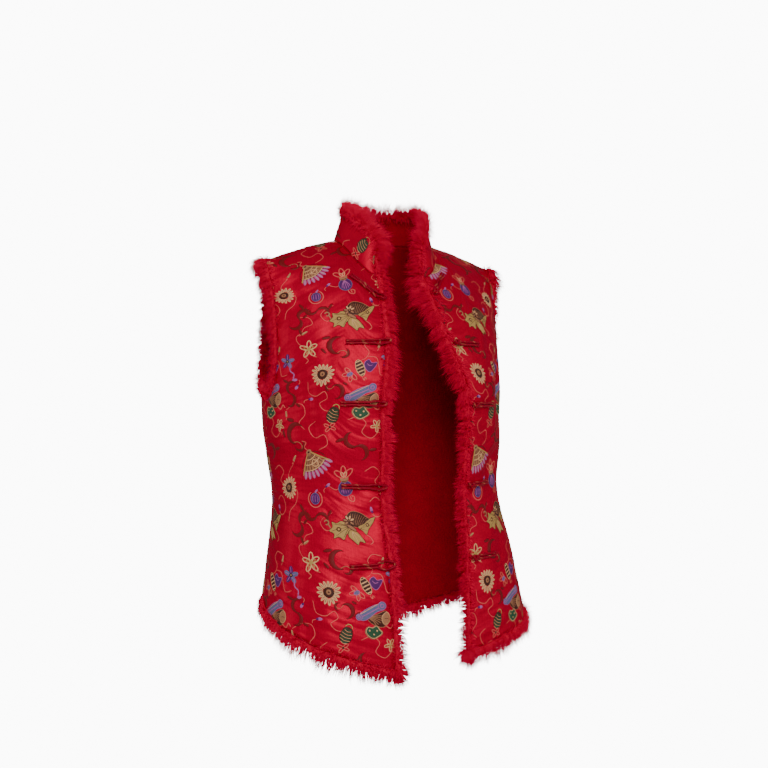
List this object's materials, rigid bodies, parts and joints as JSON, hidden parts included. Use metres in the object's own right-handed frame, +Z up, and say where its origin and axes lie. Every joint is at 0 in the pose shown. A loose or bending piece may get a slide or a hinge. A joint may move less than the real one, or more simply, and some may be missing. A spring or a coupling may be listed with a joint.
{
  "type": "vest",
  "caption": "Women's hip-length vest in crimson brocade with a stand collar, knotted frog closures left open, side vents and fur along every edge, held in its hollow worn shape.",
  "frame": {"origin": "midway between the two points where the shoulder seams meet the collar, where the wearer's shoulders carry the vest", "axes": "+Z up, -Y out of the front opening, -X towards the wearer's right"},
  "size_m": [0.3938, 0.2754, 0.6443],
  "materials": {
    "brocade": "silk satin with woven motifs in gold, cream, lilac, green and brown thread",
    "fur": "dyed rabbit fur, soft and tufted",
    "cord": "twisted crimson satin cord with dark and gold threads"
  },
  "bodies": {
    "root": {"front_right": "brocade", "front_left": "brocade", "back": "brocade", "collar": "brocade", "fur_edge_right": "fur", "fur_edge_left": "fur", "fur_hem_back": "fur", "fur_armhole_right": "fur", "fur_armhole_left": "fur", "fur_collar": "fur", "frog_loop_1": "cord", "frog_loop_2": "cord", "frog_loop_3": "cord", "frog_loop_4": "cord", "frog_loop_5": "cord", "frog_cord_1": "cord", "frog_cord_2": "cord", "frog_cord_3": "cord", "frog_cord_4": "cord", "frog_cord_5": "cord", "frog_knot_1": "cord", "frog_knot_2": "cord", "frog_knot_3": "cord", "frog_knot_4": "cord", "frog_knot_5": "cord"}
  },
  "joints": []
}
